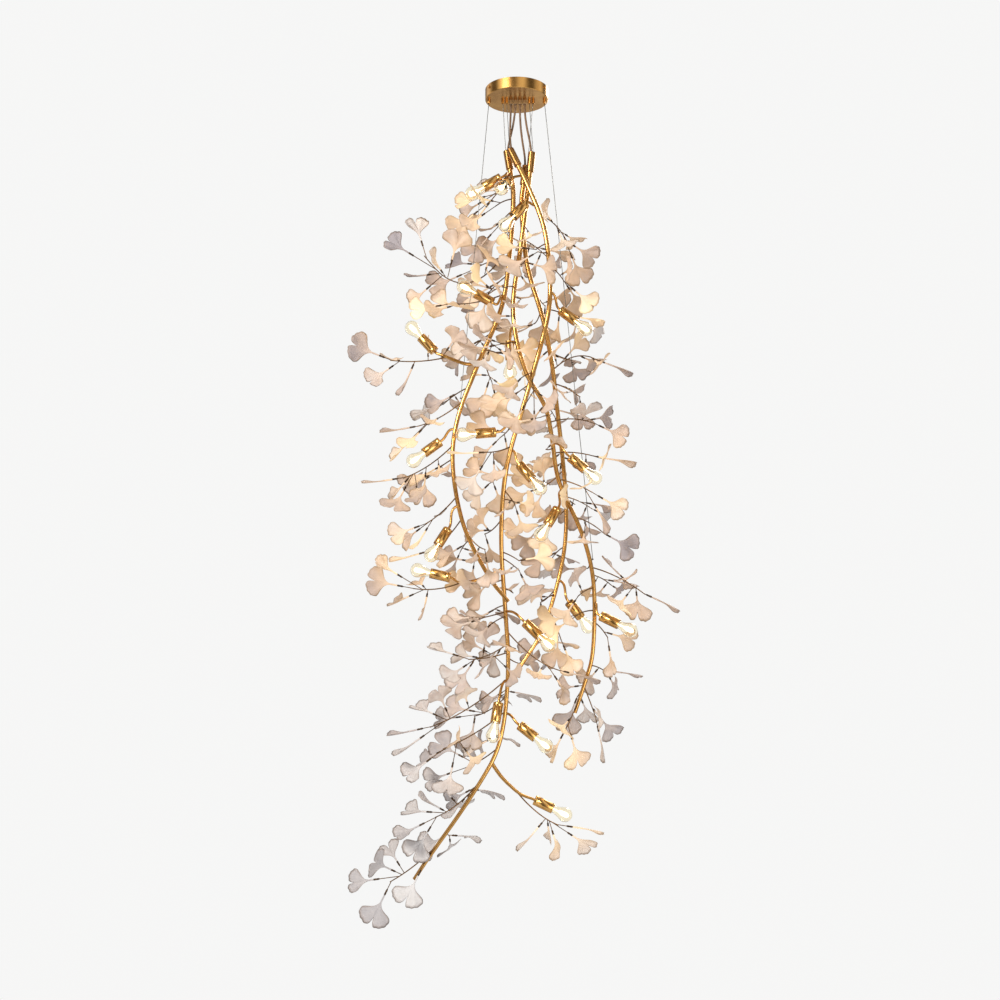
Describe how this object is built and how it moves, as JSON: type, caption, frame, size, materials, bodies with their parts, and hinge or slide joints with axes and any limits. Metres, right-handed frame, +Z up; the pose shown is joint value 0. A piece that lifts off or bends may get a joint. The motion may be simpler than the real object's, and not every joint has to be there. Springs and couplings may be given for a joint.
{
  "type": "chandelier",
  "caption": "Tall hanging cluster chandelier: round canopy, steel cables, winding brass stems, thin sprays of porcelain fan leaves and small brass lampholders with clear bulbs.",
  "frame": {"origin": "middle of the ceiling face, where the canopy's plate meets the ceiling", "axes": "+Z up and out of the ceiling face, -Y to the side seen from the room, +X to the right in that view"},
  "size_m": [0.7784, 0.3906, 1.9639],
  "materials": {
    "plate_steel": "satin",
    "brass": "brushed, lacquered",
    "stem_brass": "satin",
    "holder_brass": "brushed",
    "antique_brass": "antiqued, satin",
    "dark_metal": "satin black bronze",
    "cable_steel": "satin",
    "flex_sheath": "matt",
    "block_plastic": "matt",
    "gland_plastic": "matt",
    "insert_plastic": "satin",
    "porcelain": "unglazed, fine grained",
    "bulb_glass": "clear"
  },
  "bodies": {
    "canopy": {"ceiling_plate": "plate_steel", "canopy_cup": "brass", "canopy_screws": "brass", "terminal_block": "block_plastic", "cable_nipples": "brass", "flex_glands": "gland_plastic"},
    "cluster": {"suspension_cables": "cable_steel", "flexes": "flex_sheath", "top_ferrules": "holder_brass", "lamp_arms": "stem_brass", "lampholder_cups": "holder_brass", "lampholder_inserts": "insert_plastic", "stem_a": "stem_brass", "stem_b": "stem_brass", "stem_c": "stem_brass", "stem_d": "stem_brass", "twigs_upper_left": "antique_brass", "twigs_upper_right": "antique_brass", "twigs_middle_left": "antique_brass", "twigs_centre": "antique_brass", "twigs_middle_right": "antique_brass", "twigs_lower_right": "antique_brass", "twigs_lower_left": "antique_brass", "twigs_rear": "antique_brass", "leaf_stalks_upper": "dark_metal", "leaf_stalks_middle": "dark_metal", "leaf_stalks_lower": "dark_metal", "leaf_stalks_rear": "dark_metal", "leaves_upper_left": "porcelain", "leaves_upper_right": "porcelain", "leaves_middle_left": "porcelain", "leaves_centre": "porcelain", "leaves_middle_right": "porcelain", "leaves_lower_right": "porcelain", "leaves_lower_left": "porcelain", "leaves_rear": "porcelain"},
    "bulb_01_body": {"bulb_01": "bulb_glass"},
    "bulb_02_body": {"bulb_02": "bulb_glass"},
    "bulb_03_body": {"bulb_03": "bulb_glass"},
    "bulb_04_body": {"bulb_04": "bulb_glass"},
    "bulb_05_body": {"bulb_05": "bulb_glass"},
    "bulb_06_body": {"bulb_06": "bulb_glass"},
    "bulb_07_body": {"bulb_07": "bulb_glass"},
    "bulb_08_body": {"bulb_08": "bulb_glass"},
    "bulb_09_body": {"bulb_09": "bulb_glass"},
    "bulb_10_body": {"bulb_10": "bulb_glass"},
    "bulb_11_body": {"bulb_11": "bulb_glass"},
    "bulb_12_body": {"bulb_12": "bulb_glass"},
    "bulb_13_body": {"bulb_13": "bulb_glass"},
    "bulb_14_body": {"bulb_14": "bulb_glass"},
    "bulb_15_body": {"bulb_15": "bulb_glass"},
    "bulb_16_body": {"bulb_16": "bulb_glass"},
    "bulb_17_body": {"bulb_17": "bulb_glass"},
    "bulb_18_body": {"bulb_18": "bulb_glass"},
    "bulb_19_body": {"bulb_19": "bulb_glass"},
    "bulb_20_body": {"bulb_20": "bulb_glass"}
  },
  "joints": [
    {"name": "swing", "type": "hinge", "parent": "canopy", "child": "cluster", "pos_m": [0, 0, -0.02665], "axis": [1, 0, 0], "range_deg": [-4, 4]},
    {"name": "bulb_01_unscrew", "type": "slide", "parent": "cluster", "child": "bulb_01_body", "axis": [-0.8713, 0, -0.4907], "range_m": [0, 0.03]},
    {"name": "bulb_02_unscrew", "type": "slide", "parent": "cluster", "child": "bulb_02_body", "axis": [-0.2494, -0.798, -0.5486], "range_m": [0, 0.03]},
    {"name": "bulb_03_unscrew", "type": "slide", "parent": "cluster", "child": "bulb_03_body", "axis": [-0.6007, -0.3004, -0.7409], "range_m": [0, 0.03]},
    {"name": "bulb_04_unscrew", "type": "slide", "parent": "cluster", "child": "bulb_04_body", "axis": [-0.8742, -0.201, 0.4421], "range_m": [0, 0.03]},
    {"name": "bulb_05_unscrew", "type": "slide", "parent": "cluster", "child": "bulb_05_body", "axis": [-0.6919, 0, 0.722], "range_m": [0, 0.03]},
    {"name": "bulb_06_unscrew", "type": "slide", "parent": "cluster", "child": "bulb_06_body", "axis": [0.7502, -0.2001, -0.6302], "range_m": [0, 0.03]},
    {"name": "bulb_07_unscrew", "type": "slide", "parent": "cluster", "child": "bulb_07_body", "axis": [0, 0.2, -0.9798], "range_m": [0, 0.03]},
    {"name": "bulb_08_unscrew", "type": "slide", "parent": "cluster", "child": "bulb_08_body", "axis": [-0.9825, -0.1551, -0.1034], "range_m": [0, 0.03]},
    {"name": "bulb_09_unscrew", "type": "slide", "parent": "cluster", "child": "bulb_09_body", "axis": [-0.796, -0.0995, -0.597], "range_m": [0, 0.03]},
    {"name": "bulb_10_unscrew", "type": "slide", "parent": "cluster", "child": "bulb_10_body", "axis": [0.6007, -0.3004, -0.7409], "range_m": [0, 0.03]},
    {"name": "bulb_11_unscrew", "type": "slide", "parent": "cluster", "child": "bulb_11_body", "axis": [-0.5051, -0.303, -0.8081], "range_m": [0, 0.03]},
    {"name": "bulb_12_unscrew", "type": "slide", "parent": "cluster", "child": "bulb_12_body", "axis": [0.7519, -0.1003, -0.6516], "range_m": [0, 0.03]},
    {"name": "bulb_13_unscrew", "type": "slide", "parent": "cluster", "child": "bulb_13_body", "axis": [-0.4699, -0.3948, -0.7895], "range_m": [0, 0.03]},
    {"name": "bulb_14_unscrew", "type": "slide", "parent": "cluster", "child": "bulb_14_body", "axis": [-0.9752, 0, 0.2212], "range_m": [0, 0.03]},
    {"name": "bulb_15_unscrew", "type": "slide", "parent": "cluster", "child": "bulb_15_body", "axis": [0.6007, 0.3004, -0.7409], "range_m": [0, 0.03]},
    {"name": "bulb_16_unscrew", "type": "slide", "parent": "cluster", "child": "bulb_16_body", "axis": [0.8511, -0.3004, -0.4306], "range_m": [0, 0.03]},
    {"name": "bulb_17_unscrew", "type": "slide", "parent": "cluster", "child": "bulb_17_body", "axis": [0.7027, -0.2008, -0.6826], "range_m": [0, 0.03]},
    {"name": "bulb_18_unscrew", "type": "slide", "parent": "cluster", "child": "bulb_18_body", "axis": [-0.1503, -0.3006, -0.9418], "range_m": [0, 0.03]},
    {"name": "bulb_19_unscrew", "type": "slide", "parent": "cluster", "child": "bulb_19_body", "axis": [0.7767, -0.1992, -0.5975], "range_m": [0, 0.03]},
    {"name": "bulb_20_unscrew", "type": "slide", "parent": "cluster", "child": "bulb_20_body", "axis": [0.9016, -0.1002, -0.4208], "range_m": [0, 0.03]}
  ]
}
